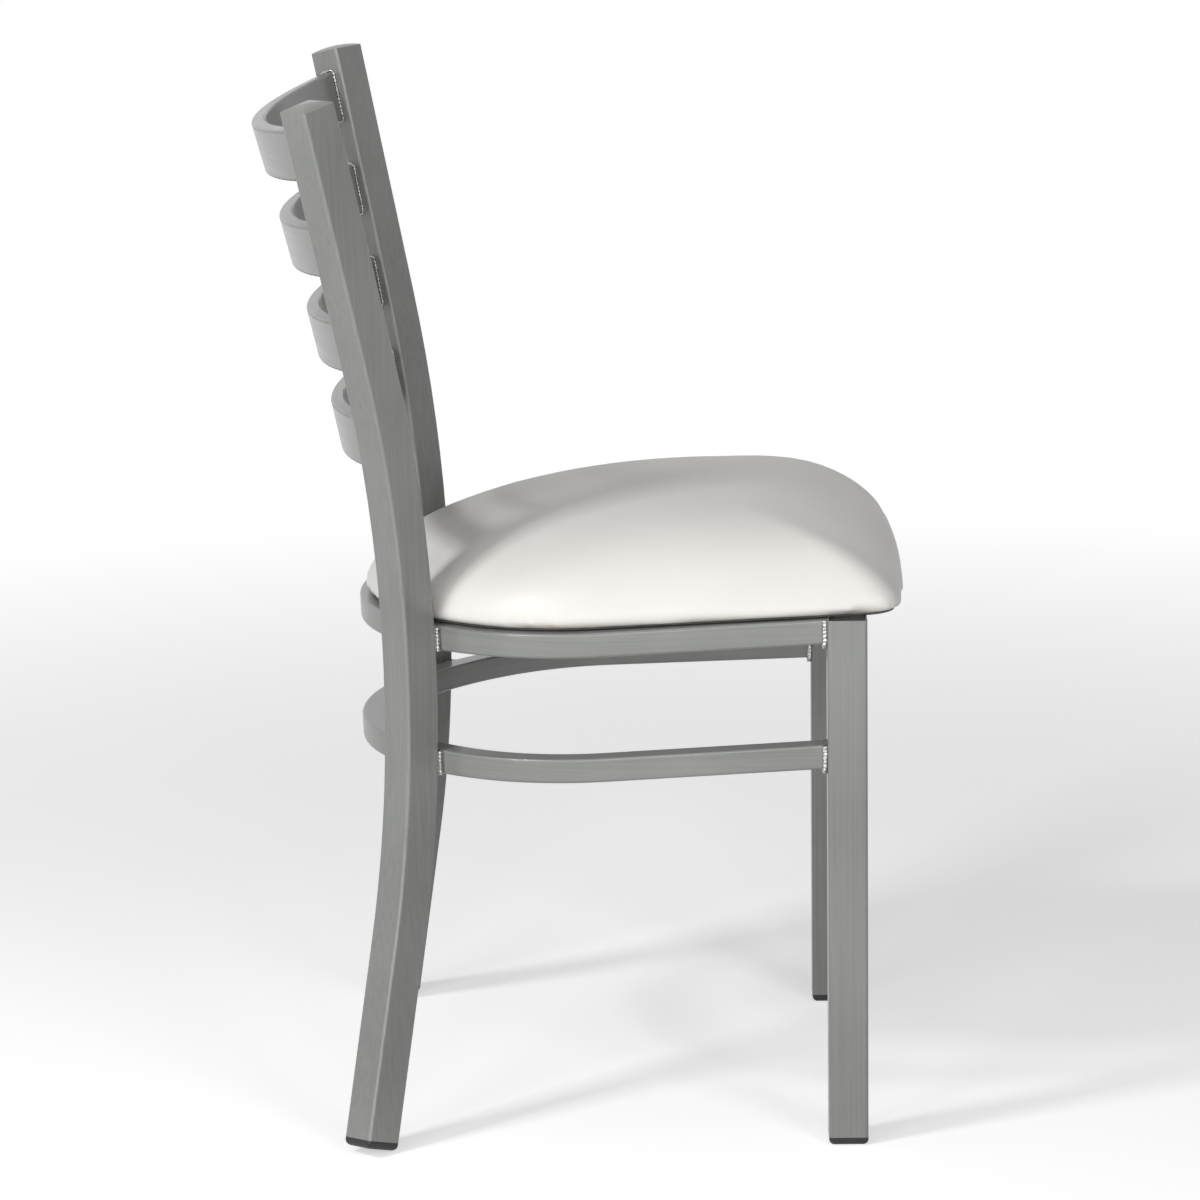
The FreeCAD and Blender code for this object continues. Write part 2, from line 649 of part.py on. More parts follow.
SEAT = frame_place()
seat_bottom = size("seat_gap")
hem_bottom = seat_bottom + size("dust_thick")
board_bottom = hem_bottom + size("hem_thick")
board_top = board_bottom + size("board_thick")

# Places of the four seat screws in the frame's plane
side_line = horseshoe(size("ring_side") / 2, size("ring_side") / 2, 0)
tab_side_half = side_line["start"].x - size("tab_wide") / 2
tab_front_half = size("leg_half") - size("tab_front_in")
tab_front_back = size("ring_side") / 2 + size("tab_wide") / 2
SCREWS = [
    Vector(-tab_front_half, tab_front_back, 0),
    Vector(tab_front_half, tab_front_back, 0),
    Vector(-tab_side_half, size("tab_side_back"), 0),
    Vector(tab_side_half, size("tab_side_back"), 0),
]


def pins(name, diameter, bottom, top):
    """Upright pins at the four seat screws, as one group."""
    rods = []
    for number, place in enumerate(SCREWS):
        rod = hidden("Part::Cylinder", "%s_%d" % (name, number))
        rod.setExpression("Radius", "(%s) / 2" % diameter)
        rod.Height = top - bottom
        rod.Placement = Placement(place + Vector(0, 0, bottom), Rotation())
        rods.append(rod)
    return hidden("Part::Compound", name, Links=rods)


nut_bottom = board_top - size("nut_long")

board_blank = plate("seat_board_blank", size("board_inset"), board_bottom,
                    "Sizes.board_thick")
barrel_holes = pins("barrel_holes", "Sizes.nut_barrel + 2 * Sizes.thread_fit", board_bottom,
                    board_top)
flange_seats = pins("flange_seats", "Sizes.nut_flange + 2 * Sizes.thread_fit",
                    board_top - size("nut_flange_thick"), board_top)
board_holes = hidden("Part::Compound", "board_holes", Links=[barrel_holes, flange_seats])
seat_board = hidden("Part::Cut", "seat_board", Base=board_blank, Tool=board_holes)
seat_board.Placement = SEAT
keep(seat_board, "seat_board")

cushion_inside = crowned("cushion_inside", -size("cover_thick"), board_bottom)
seat_foam = hidden("Part::Cut", "seat_foam", Base=cushion_inside, Tool=board_blank)
seat_foam.Placement = SEAT
keep(seat_foam, "seat_foam")

cushion_outside = crowned("cushion_outside", 0.0, hem_bottom)
hem_opening = plate("hem_opening", size("hem_wide"), seat_bottom,
                    "Sizes.dust_thick + Sizes.hem_thick")
cover_space = hidden("Part::MultiFuse", "cover_space",
                     Shapes=[cushion_inside, hem_opening])
seat_cover = hidden("Part::Cut", "seat_cover", Base=cushion_outside, Tool=cover_space)
seat_cover.Placement = SEAT
keep(seat_cover, "seat_cover")

dust_holes = pins("dust_holes", "Sizes.screw_bore", seat_bottom, hem_bottom)
dust_blank = plate("dust_blank", size("dust_inset"), seat_bottom, "Sizes.dust_thick")
dust_cover = hidden("Part::Cut", "dust_cover", Base=dust_blank, Tool=dust_holes)
dust_cover.Placement = SEAT
keep(dust_cover, "dust_cover")


# Seat fixings: welded tabs, screws, washers and tee nuts

def seat_tab(name, place, along_x):
    """Flat tab with one hole, its far edge trimmed by the tube that it is welded to."""
    wide = size("tab_long") if along_x else size("tab_wide")
    deep = size("tab_wide") if along_x else size("tab_long")
    blank = hidden("Part::Box", name + "_blank")
    into_tube = "Sizes.tab_wide + Sizes.ring_side / 2"
    blank.setExpression("Length", "Sizes.tab_long" if along_x else into_tube)
    blank.setExpression("Width", into_tube if along_x else "Sizes.tab_long")
    blank.setExpression("Height", "Sizes.tab_thick")
    tube_reach = size("ring_side") / 2
    left = place.x - wide / 2 - (tube_reach if not along_x and place.x < 0 else 0)
    front = place.y - deep / 2 - (tube_reach if along_x else 0)
    blank.Placement = Placement(Vector(left, front, -size("tab_thick")), Rotation())
    hole = hidden("Part::Cylinder", name + "_hole")
    hole.setExpression("Radius", "Sizes.screw_bore / 2")
    hole.setExpression("Height", "Sizes.tab_thick")
    hole.Placement = Placement(place - Vector(0, 0, size("tab_thick")), Rotation())
    drilled = hidden("Part::Cut", name + "_drilled", Base=blank, Tool=hole)
    drilled.Placement = SEAT
    return drilled


rail_solid = Part.makeBox(2 * size("leg_half"), size("ring_side"), size("ring_side"),
                          Vector(-size("leg_half"), -size("ring_side") / 2,
                                 size("frame_high") - size("ring_side")))
tab_tubes = hidden("Part::Feature", "tab_tubes",
                   Shape=Part.makeCompound([rail_solid, RING_SOLIDS["seat_ring"]]))
TAB_NAMES = ("front_right", "front_left", "side_right", "side_left")
for number, place in enumerate(SCREWS):
    name = "seat_tab_" + TAB_NAMES[number]
    drilled = seat_tab(name, place, number < 2)
    tab = hidden("Part::Cut", name, Base=drilled, Tool=tab_tubes)
    keep(tab, name)

washer_top = -size("tab_thick")
head_top = washer_top - size("washer_thick")
washer_discs = pins("washer_discs", "Sizes.washer_wide", head_top, washer_top)
washer_bores = pins("washer_bores", "Sizes.screw_thread + 2 * Sizes.thread_fit", head_top,
                    washer_top)
washers = hidden("Part::Cut", "seat_washers", Base=washer_discs, Tool=washer_bores)
washers.Placement = SEAT
keep(washers, "seat_washers")

nut_barrels = pins("nut_barrels", "Sizes.nut_barrel", nut_bottom, board_top)
nut_flanges = pins("nut_flanges", "Sizes.nut_flange", board_top - size("nut_flange_thick"),
                   board_top)
nut_bores = pins("nut_bores", "Sizes.screw_thread + 2 * Sizes.thread_fit", nut_bottom, board_top)
nut_solids = hidden("Part::MultiFuse", "nut_solids", Shapes=[nut_barrels, nut_flanges])
tee_nuts = hidden("Part::Cut", "tee_nuts", Base=nut_solids, Tool=nut_bores)
tee_nuts.Placement = SEAT
keep(tee_nuts, "tee_nuts")

screw_top = head_top + size("screw_long")
shafts = pins("screw_shafts", "Sizes.screw_thread", head_top, screw_top)
heads = pins("screw_heads", "Sizes.screw_head", head_top - size("screw_head_high"), head_top)
screw_blanks = hidden("Part::MultiFuse", "screw_blanks", Shapes=[shafts, heads])
sockets = []
for number, place in enumerate(SCREWS):
    socket = hidden("Part::Prism", "screw_socket_%d" % number, Polygon=6)
    socket.setExpression("Circumradius", "Sizes.socket_size / 2 / cos(30)")
    socket.setExpression("Height", "Sizes.socket_deep")
    socket.Placement = Placement(place + Vector(0, 0, head_top - size("screw_head_high")),
                                 Rotation())
    sockets.append(socket)
socket_group = hidden("Part::Compound", "screw_sockets", Links=sockets)
seat_screws = hidden("Part::Cut", "seat_screws", Base=screw_blanks, Tool=socket_group)
seat_screws.Placement = SEAT
keep(seat_screws, "seat_screws")


# Weld beads: what lies close to both tubes of a joint, outside either

def slab(top, bottom):
    """Level slab as wide as the chair, to trim what stands out above or below it."""
    reach = 4 * size("leg_half")
    return Part.makeBox(reach, reach, top - bottom, Vector(-reach / 2, -reach / 2, bottom))


def weld(label, grown_one, grown_two, solids):
    """Beads where two grown envelopes meet, less the tubes themselves."""
    beads = [one.common(two) for one in grown_one for two in grown_two]
    beads = Part.makeCompound([bead for bead in beads if bead.Volume > 1])
    filled = hidden("Part::Feature", label + "_blank", Shape=beads)
    tubes = hidden("Part::Feature", label + "_tubes", Shape=Part.makeCompound(solids))
    return keep(hidden("Part::Cut", label, Base=filled, Tool=tubes), label)


def grown_box(box_shape, grow):
    bounds = box_shape.BoundBox
    return Part.makeBox(bounds.XLength + 2 * grow, bounds.YLength + 2 * grow, bounds.ZLength,
                        Vector(bounds.XMin - grow, bounds.YMin - grow, bounds.ZMin))


def on_both_sides(shape):
    return [shape, flipped_x(shape)]


POST_SOLIDS = on_both_sides(post_solid)
slat_bead = size("slat_bead")
leg_bead = size("leg_bead")
post_bead = size("post_bead")
legs_near = [grown_box(leg, leg_bead) for leg in LEG_SOLIDS]
behind_legs = Part.makeBox(4 * size("leg_half"), size("ring_back"), size("frame_high"),
                           Vector(-2 * size("leg_half"), size("post_side") / 2, 0))
leg_backs_near = [leg.common(behind_legs) for leg in legs_near]
posts_near = on_both_sides(post_shape(bar, slat_bead))
posts_wide = on_both_sides(post_shape(bar, post_bead))
for name, drop in RING_DROPS.items():
    place = frame_place(drop)
    below_top = slab(0, -2 * size("ring_side"))
    beside = slab(0, -size("ring_side"))
    ring_near = placed(ring_shape(bar, leg_bead).common(below_top), place)
    ring_wide = placed(ring_shape(bar, post_bead).common(beside), place)
    weld(name + "_leg_welds", [ring_near], leg_backs_near, [RING_SOLIDS[name]] + LEG_SOLIDS)
    weld(name + "_post_welds", [ring_wide], posts_wide, [RING_SOLIDS[name]] + POST_SOLIDS)
for index in range(int(size("slat_count"))):
    slat_near = slat_shape(bar, index, slat_bead)
    weld("slat_%d_welds" % (index + 1), [slat_near], posts_near,
         [SLAT_SOLIDS[index]] + POST_SOLIDS)
rail_near = Part.makeBox(2 * size("leg_half"), size("ring_side") + 2 * leg_bead,
                         size("ring_side") + leg_bead,
                         Vector(-size("leg_half"), -size("ring_side") / 2 - leg_bead,
                                size("frame_high") - size("ring_side") - leg_bead))
weld("front_rail_welds", [rail_near], legs_near, [rail_solid] + LEG_SOLIDS)


# Check every object before anything is written

doc.recompute()
for made in doc.Objects:
    if "Invalid" in made.State or "Error" in made.State:
        raise RuntimeError("object failed: " + made.Name)
for node in PARTS:
    if node.Shape.isNull() or not node.Shape.isValid():
        raise RuntimeError("sub-part has no valid shape: " + node.Label)

# Origin: on the floor, under the middle of the whole chair

bounds = [node.Shape.optimalBoundingBox(False, False) for node in PARTS]
front = min(bound.YMin for bound in bounds)
back = max(bound.YMax for bound in bounds)
home = Placement(Vector(0, -(front + back) / 2, 0), Rotation())
for node in PARTS:
    node.Placement = home.multiply(node.Placement)
print("front legs' centres at Y %.3f" % home.Base.y)

os.makedirs("parts", exist_ok=True)
for node in PARTS:
    node.Shape.exportStep("parts/%s.step" % node.Label)
    print("%-24s %3d solids %12.1f mm3" % (node.Label, len(node.Shape.Solids), node.Shape.Volume))
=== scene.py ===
import math

import bmesh
import bpy
import numpy as np
from mathutils import Matrix, Vector, noise


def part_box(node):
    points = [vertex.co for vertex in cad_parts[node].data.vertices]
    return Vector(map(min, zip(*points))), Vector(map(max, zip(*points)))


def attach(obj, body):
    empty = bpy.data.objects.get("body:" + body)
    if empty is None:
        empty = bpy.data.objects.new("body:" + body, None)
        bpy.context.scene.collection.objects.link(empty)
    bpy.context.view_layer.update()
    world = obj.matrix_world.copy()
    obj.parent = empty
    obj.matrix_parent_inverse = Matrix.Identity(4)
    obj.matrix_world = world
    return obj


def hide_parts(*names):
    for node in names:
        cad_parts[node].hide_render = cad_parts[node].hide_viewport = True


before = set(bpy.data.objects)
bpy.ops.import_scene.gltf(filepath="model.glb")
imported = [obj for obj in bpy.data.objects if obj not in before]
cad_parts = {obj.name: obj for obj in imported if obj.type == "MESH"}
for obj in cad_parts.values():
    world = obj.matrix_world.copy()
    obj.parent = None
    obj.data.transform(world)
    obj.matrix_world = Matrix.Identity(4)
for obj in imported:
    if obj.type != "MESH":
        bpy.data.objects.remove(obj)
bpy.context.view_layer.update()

MM = 0.001

# Places read from the frame. The frame's top, and the seat on it, fall towards the back

SEAT_FALL = 2.23
leg_low, leg_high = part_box("front_leg_left")
LEGS_BACK = (leg_low[1] + leg_high[1]) / 2
FRAME_TOP = leg_high[2]
FRAME_FALL = math.tan(math.radians(SEAT_FALL))


# Shader helpers

def new_material(name):
    """A node material with one Principled shader; returns material, nodes, links and shader."""
    material = bpy.data.materials.new(name)
    material.use_nodes = True
    nodes, links = material.node_tree.nodes, material.node_tree.links
    return material, nodes, links, nodes["Principled BSDF"]


def set_values(shader, **values):
    for name, value in values.items():
        shader.inputs[name.replace("_", " ")].default_value = value


def noise_node(nodes, links, scale, detail, stretch=(1, 1, 1)):
    """Noise over the object's own coordinates; stretch multiplies its frequency per axis."""
    place = nodes.new("ShaderNodeTexCoord")
    mapping = nodes.new("ShaderNodeMapping")
    mapping.inputs["Scale"].default_value = stretch
    texture = nodes.new("ShaderNodeTexNoise")
    texture.inputs["Scale"].default_value = scale
    texture.inputs["Detail"].default_value = detail
    links.new(place.outputs["Object"], mapping.inputs["Vector"])
    links.new(mapping.outputs["Vector"], texture.inputs["Vector"])
    return texture


def ramp(nodes, links, source, low, high, start=0.3, end=0.7):
    """Ramp between two greys or colours, driven by a factor output."""
    made = nodes.new("ShaderNodeValToRGB")
    for element, place, colour in zip(made.color_ramp.elements, (start, end), (low, high)):
        grey_or_colour = colour if isinstance(colour, tuple) else (colour,) * 3
        element.position = place
        element.color = (*grey_or_colour, 1)
    links.new(source, made.inputs["Fac"])
    return made


def bump(nodes, links, shader, source, distance, strength, before=None):
    """Raise the surface by a factor output, on top of an earlier bump if there is one."""
    made = nodes.new("ShaderNodeBump")
    made.inputs["Distance"].default_value = distance
    made.inputs["Strength"].default_value = strength
    links.new(source, made.inputs["Height"])
    if before is not None:
        links.new(before.outputs["Normal"], made.inputs["Normal"])
    links.new(made.outputs["Normal"], shader.inputs["Normal"])
    return made


# Materials

# How fast the drawn streaks change across a tube and along it, per metre
STREAKS_ACROSS, STREAKS_ALONG = 420, 5
STEEL_DARK = (0.200, 0.206, 0.198)
STEEL_LIGHT = (0.270, 0.276, 0.266)


def coated_steel(name, stretch):
    """Clear coated grey steel: faint drawn streaks along the tube under a satin film."""
    material, nodes, links, shader = new_material(name)
    set_values(shader, Metallic=0.12, Specular_IOR_Level=0.25, Coat_Weight=0.30,
               Coat_Roughness=0.14)
    streaks = noise_node(nodes, links, 1.0, 6, stretch)
    clouds = noise_node(nodes, links, 9.0, 3)
    blend = nodes.new("ShaderNodeMix")
    blend.inputs["Factor"].default_value = 0.5
    links.new(streaks.outputs["Fac"], blend.inputs["A"])
    links.new(clouds.outputs["Fac"], blend.inputs["B"])
    colour = ramp(nodes, links, blend.outputs["Result"], STEEL_DARK, STEEL_LIGHT)
    links.new(colour.outputs["Color"], shader.inputs["Base Color"])
    gloss = ramp(nodes, links, streaks.outputs["Fac"], 0.30, 0.42)
    links.new(gloss.outputs["Color"], shader.inputs["Roughness"])
    peel = noise_node(nodes, links, 420.0, 2)
    first = bump(nodes, links, shader, peel.outputs["Fac"], 0.0002, 0.12)
    bump(nodes, links, shader, streaks.outputs["Fac"], 0.0002, 0.10, first)
    return material


def weld_metal():
    """Bare bright weld metal under the clear coat, grainy."""
    material, nodes, links, shader = new_material("weld_metal")
    set_values(shader, Metallic=0.7, Coat_Weight=0.8, Coat_Roughness=0.06)
    grains = noise_node(nodes, links, 900.0, 3)
    colour = ramp(nodes, links, grains.outputs["Fac"], (0.27, 0.275, 0.265), (0.52, 0.52, 0.51))
    links.new(colour.outputs["Color"], shader.inputs["Base Color"])
    gloss = ramp(nodes, links, grains.outputs["Fac"], 0.16, 0.36)
    links.new(gloss.outputs["Color"], shader.inputs["Roughness"])
    bump(nodes, links, shader, grains.outputs["Fac"], 0.0004, 0.5)
    return material


def white_vinyl():
    """Warm white vinyl with a fine leather grain."""
    material, nodes, links, shader = new_material("white_vinyl")
    set_values(shader, Specular_IOR_Level=0.45, Coat_Weight=0.06, Coat_Roughness=0.35)
    clouds = noise_node(nodes, links, 7.0, 4)
    colour = ramp(nodes, links, clouds.outputs["Fac"], (0.755, 0.735, 0.700), (0.800, 0.785, 0.752))
    links.new(colour.outputs["Color"], shader.inputs["Base Color"])
    gloss = ramp(nodes, links, clouds.outputs["Fac"], 0.40, 0.50)
    links.new(gloss.outputs["Color"], shader.inputs["Roughness"])
    place = nodes.new("ShaderNodeTexCoord")
    grain = nodes.new("ShaderNodeTexVoronoi")
    grain.feature = "DISTANCE_TO_EDGE"
    grain.inputs["Scale"].default_value = 850.0
    links.new(place.outputs["Object"], grain.inputs["Vector"])
    pores = noise_node(nodes, links, 1500.0, 2)
    first = bump(nodes, links, shader, grain.outputs["Distance"], 0.00015, 0.10)
    bump(nodes, links, shader, pores.outputs["Fac"], 0.0001, 0.08, first)
    return material


def black_plastic():
    """Black moulded plastic of the glides."""
    material, nodes, links, shader = new_material("black_plastic")
    spots = noise_node(nodes, links, 700.0, 3)
    colour = ramp(nodes, links, spots.outputs["Fac"], 0.008, 0.016)
    links.new(colour.outputs["Color"], shader.inputs["Base Color"])
    gloss = ramp(nodes, links, spots.outputs["Fac"], 0.38, 0.52)
    links.new(gloss.outputs["Color"], shader.inputs["Roughness"])
    bump(nodes, links, shader, spots.outputs["Fac"], 0.0002, 0.2)
    return material


def dust_cloth():
    """Thin black cloth under the seat, with fibres running one way."""
    material, nodes, links, shader = new_material("dust_cloth")
    set_values(shader, Sheen_Weight=0.3, Roughness=0.9)
    fibres = noise_node(nodes, links, 1.0, 5, (900, 260, 900))
    colour = ramp(nodes, links, fibres.outputs["Fac"], 0.006, 0.022)
    links.new(colour.outputs["Color"], shader.inputs["Base Color"])
    bump(nodes, links, shader, fibres.outputs["Fac"], 0.0003, 0.4)
    return material


def zinc_steel():
    """Zinc plate with a fine spangle."""
    material, nodes, links, shader = new_material("zinc_steel")
    set_values(shader, Metallic=1.0)
    spangle = noise_node(nodes, links, 500.0, 3)
    colour = ramp(nodes, links, spangle.outputs["Fac"], (0.50, 0.51, 0.52), (0.66, 0.67, 0.69))
    links.new(colour.outputs["Color"], shader.inputs["Base Color"])
    gloss = ramp(nodes, links, spangle.outputs["Fac"], 0.22, 0.38)
    links.new(gloss.outputs["Color"], shader.inputs["Roughness"])
    return material


def plywood():
    """Edge grain of the seat board, in thin level plies."""
    material, nodes, links, shader = new_material("plywood")
    set_values(shader, Roughness=0.75)
    plies = noise_node(nodes, links, 1.0, 4, (6, 6, 600))
    colour = ramp(nodes, links, plies.outputs["Fac"], (0.36, 0.24, 0.13), (0.62, 0.46, 0.29))
    links.new(colour.outputs["Color"], shader.inputs["Base Color"])
    return material


def open_foam():
    """Yellowish foam with open cells."""
    material, nodes, links, shader = new_material("open_foam")
    set_values(shader, Roughness=0.95)
    cells = noise_node(nodes, links, 1200.0, 4)
    colour = ramp(nodes, links, cells.outputs["Fac"], (0.62, 0.55, 0.34), (0.80, 0.74, 0.55))
    links.new(colour.outputs["Color"], shader.inputs["Base Color"])
    bump(nodes, links, shader, cells.outputs["Fac"], 0.0006, 0.6)
    return material


UPRIGHT = coated_steel("coated_steel_upright", (STREAKS_ACROSS, STREAKS_ACROSS, STREAKS_ALONG))
LEVEL = coated_steel("coated_steel_level", (STREAKS_ALONG, STREAKS_ALONG, STREAKS_ACROSS))
WELD = weld_metal()
VINYL = white_vinyl()
PLASTIC = black_plastic()
CLOTH = dust_cloth()
ZINC = zinc_steel()
PLY = plywood()
FOAM = open_foam()


def material_for(node):
    if "weld" in node:
        return WELD
    if node.startswith(("post_", "front_leg")):
        return UPRIGHT
    if node.startswith("glide"):
        return PLASTIC
    if node in ("seat_screws", "seat_washers", "tee_nuts"):
        return ZINC
    seat_parts = {"seat_board": PLY, "seat_foam": FOAM, "dust_cover": CLOTH, "seat_cover": VINYL}
    return seat_parts.get(node, LEVEL)


for node_name, node_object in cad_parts.items():
    node_object.data.materials.clear()
    node_object.data.materials.append(material_for(node_name))


# Camera. Its place is measured from the point on the floor midway between the front legs,
# its angles are degrees, and its lens and sensor millimetres

CAMERA_PLACE = Vector((-4409.7, 158.9, 1334.5)) * MM
CAMERA_YAW = 0.503
CAMERA_PITCH = 11.899
CAMERA_ROLL = -0.717
CAMERA_LENS = 162.28
CAMERA_SENSOR = 36
CAMERA_REACH = 50


def make_camera():
    yaw, pitch, roll = (math.radians(a) for a in (CAMERA_YAW, CAMERA_PITCH, CAMERA_ROLL))
    ahead = Vector((math.cos(yaw) * math.cos(pitch), math.sin(yaw) * math.cos(pitch),
                    -math.sin(pitch)))
    right = ahead.cross(Vector((0, 0, 1))).normalized()
    up = right.cross(ahead)
    rolled_right = right * math.cos(roll) + up * math.sin(roll)
    rolled_up = up * math.cos(roll) - right * math.sin(roll)
    data = bpy.data.cameras.new("camera")
    data.lens = CAMERA_LENS
    data.sensor_width = CAMERA_SENSOR
    data.clip_end = CAMERA_REACH
    camera = bpy.data.objects.new("camera", data)
    bpy.context.collection.objects.link(camera)
    turn = Matrix((rolled_right, rolled_up, -ahead)).transposed()
    camera.matrix_world = (Matrix.Translation(CAMERA_PLACE + Vector((0, LEGS_BACK, 0)))
                           @ turn.to_4x4())
    bpy.context.scene.camera = camera


# Mesh helpers

def add_piece(name, mesh, material):
    """Add a mesh to the scene as a piece of the chair, riding on its one body."""
    piece = bpy.data.objects.new(name, mesh)
    bpy.context.collection.objects.link(piece)
    mesh.materials.clear()
    mesh.materials.append(material)
    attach(piece, "root")
    return piece


def apply_modifiers(piece):
    """Replace a piece's mesh by what its modifiers make of it."""
    graph = bpy.context.evaluated_depsgraph_get()
    made = bpy.data.meshes.new_from_object(piece.evaluated_get(graph))
    piece.modifiers.clear()
    piece.data = made


def shade_smooth(mesh):
    for polygon in mesh.polygons:
        polygon.use_smooth = True


# Cushion

# Millimetres: the gap over the frame's top, the cushion's height over that gap, and the
# rounding of its lower edge
SEAT_BOTTOM = 1.6
CUSHION_HIGH = 72.4
CUSHION_EDGE_ROUND = 7.0
EDGE_STEPS = 5

# The outline follows the seat ring, EDGE_OUT past it. Millimetres, lengthwise from the front
# legs' centres and widthwise from the middle
RING_HALF = 213.9
LEG_HALF = 205.0
SHOULDER_BEND = 159.0
SHOULDER_BACK = 198.6
RING_BACK = 387.5
RING_LEGS_END = 16.0
EDGE_OUT = 6.0
SEAT_FRONT = 53.5
SEAT_FRONT_HALF = 215.0
FRONT_CORNER = 24.0
FRONT_CORNER_LEAST = 10.0
CORNER_SHRINK = 0.35
FRONT_SWEEP = 2500.0

# Points on each stretch of half the outline
FRONT_POINTS, CORNER_POINTS, SIDE_POINTS, SHOULDER_POINTS, BACK_POINTS = 14, 10, 14, 22, 14

# How each side draws in from the lower edge to the crown: the slant and the run in
# millimetres, then the power that rounds it
SIDE_RULE = (28.0, 130.0, 3.3)
FRONT_RULE = (30.0, 122.0, 2.0)
BACK_RULE = (12.7, 252.0, 2.6)
CROWN_STEPS = 26
TOP_SHARE = 0.993

VOXEL = 5 * MM
SMOOTH_FACTOR, SMOOTH_STEPS = 0.5, 6


def arc_points(centre, radius, start, end, count):
    """Points along an arc in degrees, without the last one."""
    points = []
    for step in range(count):
        angle = math.radians(start + (end - start) * step / count)
        points.append((centre[0] + radius * math.cos(angle), centre[1] + radius * math.sin(angle)))
    return points


def cushion_outline(side, front, back):
    """Outline in millimetres, drawn in by the insets of its sides, front and back."""
    shoulder = SHOULDER_BEND + EDGE_OUT - side
    centre_x = RING_HALF - SHOULDER_BEND
    centre_y = SHOULDER_BACK - (back - side)
    back_y = RING_BACK + EDGE_OUT - back
    reach = centre_y - back_y
    back_bend = (shoulder ** 2 - centre_x ** 2 - reach ** 2) / (2 * (reach + shoulder))
    back_centre = back_y - back_bend
    join = math.degrees(math.atan2(centre_y - back_centre, centre_x))
    slope = math.degrees(math.atan2(RING_HALF - LEG_HALF, SHOULDER_BACK - RING_LEGS_END))
    corner = max(FRONT_CORNER - side * CORNER_SHRINK, FRONT_CORNER_LEAST)
    half_front = SEAT_FRONT_HALF - side
    front_y = front - SEAT_FRONT
    bow = FRONT_SWEEP - math.sqrt(FRONT_SWEEP ** 2 - (half_front - corner) ** 2)
    half = []
    spread = math.degrees(math.asin((half_front - corner) / FRONT_SWEEP))
    half += arc_points((0, front_y + FRONT_SWEEP), FRONT_SWEEP, -90, -90 + spread,
                       FRONT_POINTS)
    half += arc_points((half_front - corner, front_y + bow + corner), corner, -90, 0,
                       CORNER_POINTS)
    side_end = (centre_x + shoulder * math.cos(math.radians(slope)),
                centre_y - shoulder * math.sin(math.radians(slope)))
    side_start = (half_front, front_y + bow + corner)
    for step in range(SIDE_POINTS):
        share = step / SIDE_POINTS
        half.append(tuple(a + (b - a) * share for a, b in zip(side_start, side_end)))
    half += arc_points((centre_x, centre_y), shoulder, -slope, join, SHOULDER_POINTS)
    half += arc_points((0, back_centre), back_bend, join, 90, BACK_POINTS)
    half.append((0, back_y))
    other = [(-x, y) for x, y in reversed(half[1:-1])]
    return half + other


def seat_point(x, y, z):
    """A point of the fallen seat plane, in metres; z is the height above the frame's top."""
    return Vector((x, y, z)) * MM + Vector((0, LEGS_BACK, FRAME_TOP - y * MM * FRAME_FALL))


def drawn_in(share, slant, run, power):
    """How far a side of the cushion has drawn in at a share of its height."""
    return slant * share + run * (1 - (1 - share ** power) ** (1 / power))


def all_drawn_in(share):
    return [drawn_in(share, *rule) for rule in (SIDE_RULE, FRONT_RULE, BACK_RULE)]


def cushion_levels():
    """Heights and insets of the cushion's outlines, from its lower edge to its crown."""
    levels = []
    for step in range(EDGE_STEPS):
        angle = math.radians(90 * step / EDGE_STEPS)
        rise = CUSHION_EDGE_ROUND - CUSHION_EDGE_ROUND * math.cos(angle)
        inset = CUSHION_EDGE_ROUND * (1 - math.sin(angle))
        levels.append((SEAT_BOTTOM + rise, inset, inset, inset))
    first = CUSHION_EDGE_ROUND / CUSHION_HIGH
    base = all_drawn_in(first)
    for step in range(CROWN_STEPS):
        turn = math.sin(math.radians(90 * step / (CROWN_STEPS - 1)))
        share = first + (TOP_SHARE - first) * turn
        insets = [inset - start for inset, start in zip(all_drawn_in(share), base)]
        levels.append((SEAT_BOTTOM + share * CUSHION_HIGH, *insets))
    return levels


def make_cushion():
    """The cushion: its outlines as one closed mesh, remeshed, swelled and smoothed."""
    shape = bmesh.new()
    rings = []
    for height, side, front, back in cushion_levels():
        rings.append([shape.verts.new(seat_point(x, y, height))
                      for x, y in cushion_outline(side, front, back)])
    count = len(rings[0])
    for low, high in zip(rings, rings[1:]):
        for step in range(count):
            after = (step + 1) % count
            shape.faces.new((low[step], low[after], high[after], high[step]))
    shape.faces.new(list(reversed(rings[0])))
    shape.faces.new(rings[-1])
    bmesh.ops.recalc_face_normals(shape, faces=shape.faces)
    mesh = bpy.data.meshes.new("seat_cushion")
    shape.to_mesh(mesh)
    shape.free()
    cushion = add_piece("seat_cushion", mesh, VINYL)
    remesh = cushion.modifiers.new("remesh", "REMESH")
    remesh.mode = "VOXEL"
    remesh.voxel_size = VOXEL
    smooth = cushion.modifiers.new("smooth", "SMOOTH")
    smooth.factor = SMOOTH_FACTOR
    smooth.iterations = SMOOTH_STEPS
    apply_modifiers(cushion)
    swell(cushion)
    subdivide = cushion.modifiers.new("subdivide", "SUBSURF")
    subdivide.levels = 1
    subdivide.render_levels = 1
    apply_modifiers(cushion)
    flatten_underside(cushion.data)
    shade_smooth(cushion.data)
    cushion.data.materials.clear()
    cushion.data.materials.append(VINYL)
    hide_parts("seat_cover", "seat_foam")


def height_above_frame(point):
    return point.z - FRAME_TOP + (point.y - LEGS_BACK) * FRAME_FALL


def flatten_underside(mesh):
    """Keep the cushion off the frame and the cloth under it."""
    for vertex in mesh.vertices:
        rise = height_above_frame(vertex.co) - SEAT_BOTTOM * MM
        if rise < 0:
            vertex.co.z -= rise


